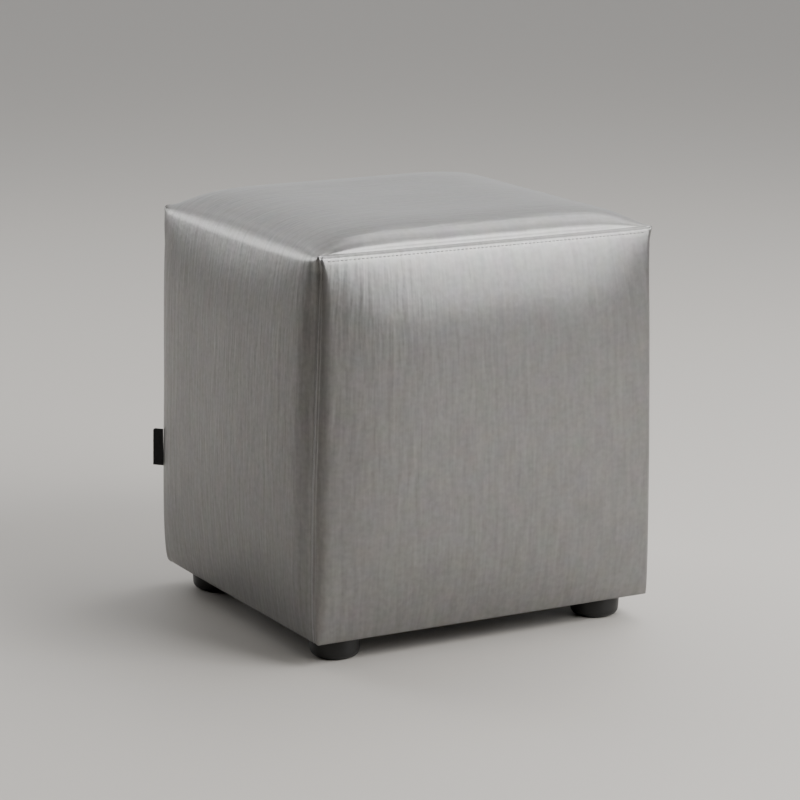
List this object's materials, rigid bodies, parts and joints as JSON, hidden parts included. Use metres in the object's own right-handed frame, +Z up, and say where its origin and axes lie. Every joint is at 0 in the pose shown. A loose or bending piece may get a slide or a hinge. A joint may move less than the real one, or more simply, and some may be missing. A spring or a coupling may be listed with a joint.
{
  "type": "cube pouf stool",
  "caption": "Filled cube pouf stool with a crowned seat, a metallic grey fabric cover sewn from a long strip and end panels, low round feet and a small side label.",
  "frame": {"origin": "on the floor, under the centre of the part's box", "axes": "+Z up, -Y towards the front panel, +X towards the front panel's right edge as it is seen from the front"},
  "size_m": [0.4285, 0.4122, 0.4547],
  "materials": {
    "metallic_cloth": "silver-grey coated cloth with a soft metallic sheen",
    "underside_cloth": "matt black non-woven",
    "foot_plastic": "satin black",
    "label_tape": "plain black woven tape"
  },
  "bodies": {
    "root": {"seat_strip": "metallic_cloth", "front_panel": "metallic_cloth", "back_panel": "metallic_cloth", "base_cloth": "underside_cloth", "foot_front_left": "foot_plastic", "foot_front_right": "foot_plastic", "foot_back_left": "foot_plastic", "foot_back_right": "foot_plastic", "side_label": "label_tape"}
  },
  "joints": []
}
